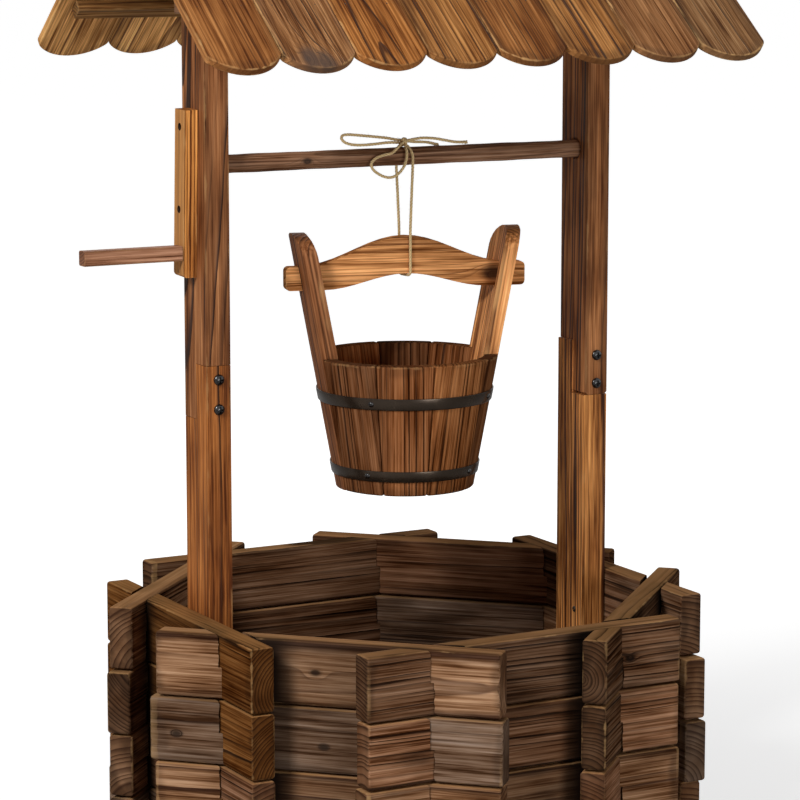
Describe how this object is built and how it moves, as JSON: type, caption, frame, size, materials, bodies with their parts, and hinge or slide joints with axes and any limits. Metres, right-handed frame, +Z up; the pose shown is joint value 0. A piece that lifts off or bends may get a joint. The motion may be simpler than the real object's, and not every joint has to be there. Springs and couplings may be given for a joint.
{
  "type": "wishing well planter",
  "caption": "Garden planter in the form of a wishing well: octagonal base of half-lapped boards, spliced posts, plank roof, rod, crank and a staved bucket on twine.",
  "frame": {"origin": "the octagonal base's vertical axis, on the ground, at the underside of the middle floor bearer", "axes": "+Z up, +X along the rod towards the post without the crank, front towards -Y"},
  "size_m": [0.706, 0.656, 1.0634],
  "materials": {
    "base_board": "charred and brushed softwood, brown with grey edges, matt",
    "post_wood": "charred and brushed softwood, red-brown with dark stripes, satin oil",
    "roof_plank": "charred and brushed softwood, golden brown with pale worn edges",
    "roof_frame": "charred softwood, dark brown, matt",
    "rod_wood": "dark brown round rod, slight sheen",
    "crank_wood": "golden brown with dark stripes, satin",
    "bucket_wood": "orange-brown staves with dark upright stripes, satin",
    "hoop_iron": "dark olive-grey paint on iron band, satin",
    "bolt_steel": "blackened steel, glossy",
    "twine_jute": "twisted jute twine with loose fibres"
  },
  "bodies": {
    "root": {"wall_1": "base_board", "wall_2": "base_board", "wall_3": "base_board", "wall_4": "base_board", "wall_5": "base_board", "wall_6": "base_board", "wall_7": "base_board", "wall_8": "base_board", "floor_slats": "base_board", "post_left_lower": "post_wood", "post_left_upper": "post_wood", "post_right_lower": "post_wood", "post_right_upper": "post_wood", "bolt_left_upper": "bolt_steel", "bolt_left_lower": "bolt_steel", "bolt_right_upper": "bolt_steel", "bolt_right_lower": "bolt_steel", "crank_arm": "crank_wood", "crank_handle": "crank_wood", "front_plank_1": "roof_plank", "front_plank_2": "roof_plank", "front_plank_3": "roof_plank", "front_plank_4": "roof_plank", "front_plank_5": "roof_plank", "front_plank_6": "roof_plank", "front_plank_7": "roof_plank", "front_plank_8": "roof_plank", "back_plank_1": "roof_plank", "back_plank_2": "roof_plank", "back_plank_3": "roof_plank", "back_plank_4": "roof_plank", "back_plank_5": "roof_plank", "back_plank_6": "roof_plank", "back_plank_7": "roof_plank", "back_plank_8": "roof_plank", "front_upper_batten": "roof_frame", "front_lower_batten": "roof_frame", "back_upper_batten": "roof_frame", "back_lower_batten": "roof_frame", "gable_plate_left": "roof_frame", "gable_plate_right": "roof_frame"},
    "rod": {"rod": "rod_wood"},
    "bow": {"twine_bow": "twine_jute"},
    "strands": {"twine_strand_front": "twine_jute", "twine_strand_rear": "twine_jute"},
    "bucket": {"bucket_ear_right": "bucket_wood", "bucket_ear_left": "bucket_wood", "bucket_stave_1": "bucket_wood", "bucket_stave_2": "bucket_wood", "bucket_stave_3": "bucket_wood", "bucket_stave_4": "bucket_wood", "bucket_stave_5": "bucket_wood", "bucket_stave_6": "bucket_wood", "bucket_stave_7": "bucket_wood", "bucket_stave_8": "bucket_wood", "bucket_bottom": "bucket_wood", "hoop_upper": "hoop_iron", "hoop_lower": "hoop_iron", "yoke": "bucket_wood", "twine_wrap": "twine_jute"}
  },
  "joints": [
    {"name": "rod_turn", "type": "hinge", "parent": "root", "child": "rod", "pos_m": [0, 0, 0.762], "axis": [1, 0, 0], "continuous": true},
    {"name": "bucket_swing", "type": "hinge", "parent": "root", "child": "bow", "pos_m": [0.0037, 0, 0.762], "axis": [1, 0, 0], "range_deg": [-45, 45]},
    {"name": "bucket_sway", "type": "hinge", "parent": "bow", "child": "strands", "pos_m": [0.0037, 0, 0.762], "axis": [0, 1, 0], "range_deg": [-15, 15]},
    {"name": "bucket_twist", "type": "hinge", "parent": "strands", "child": "bucket", "pos_m": [0.0037, 0, 0.675], "axis": [0, 0, 1], "range_deg": [-90, 90]}
  ]
}
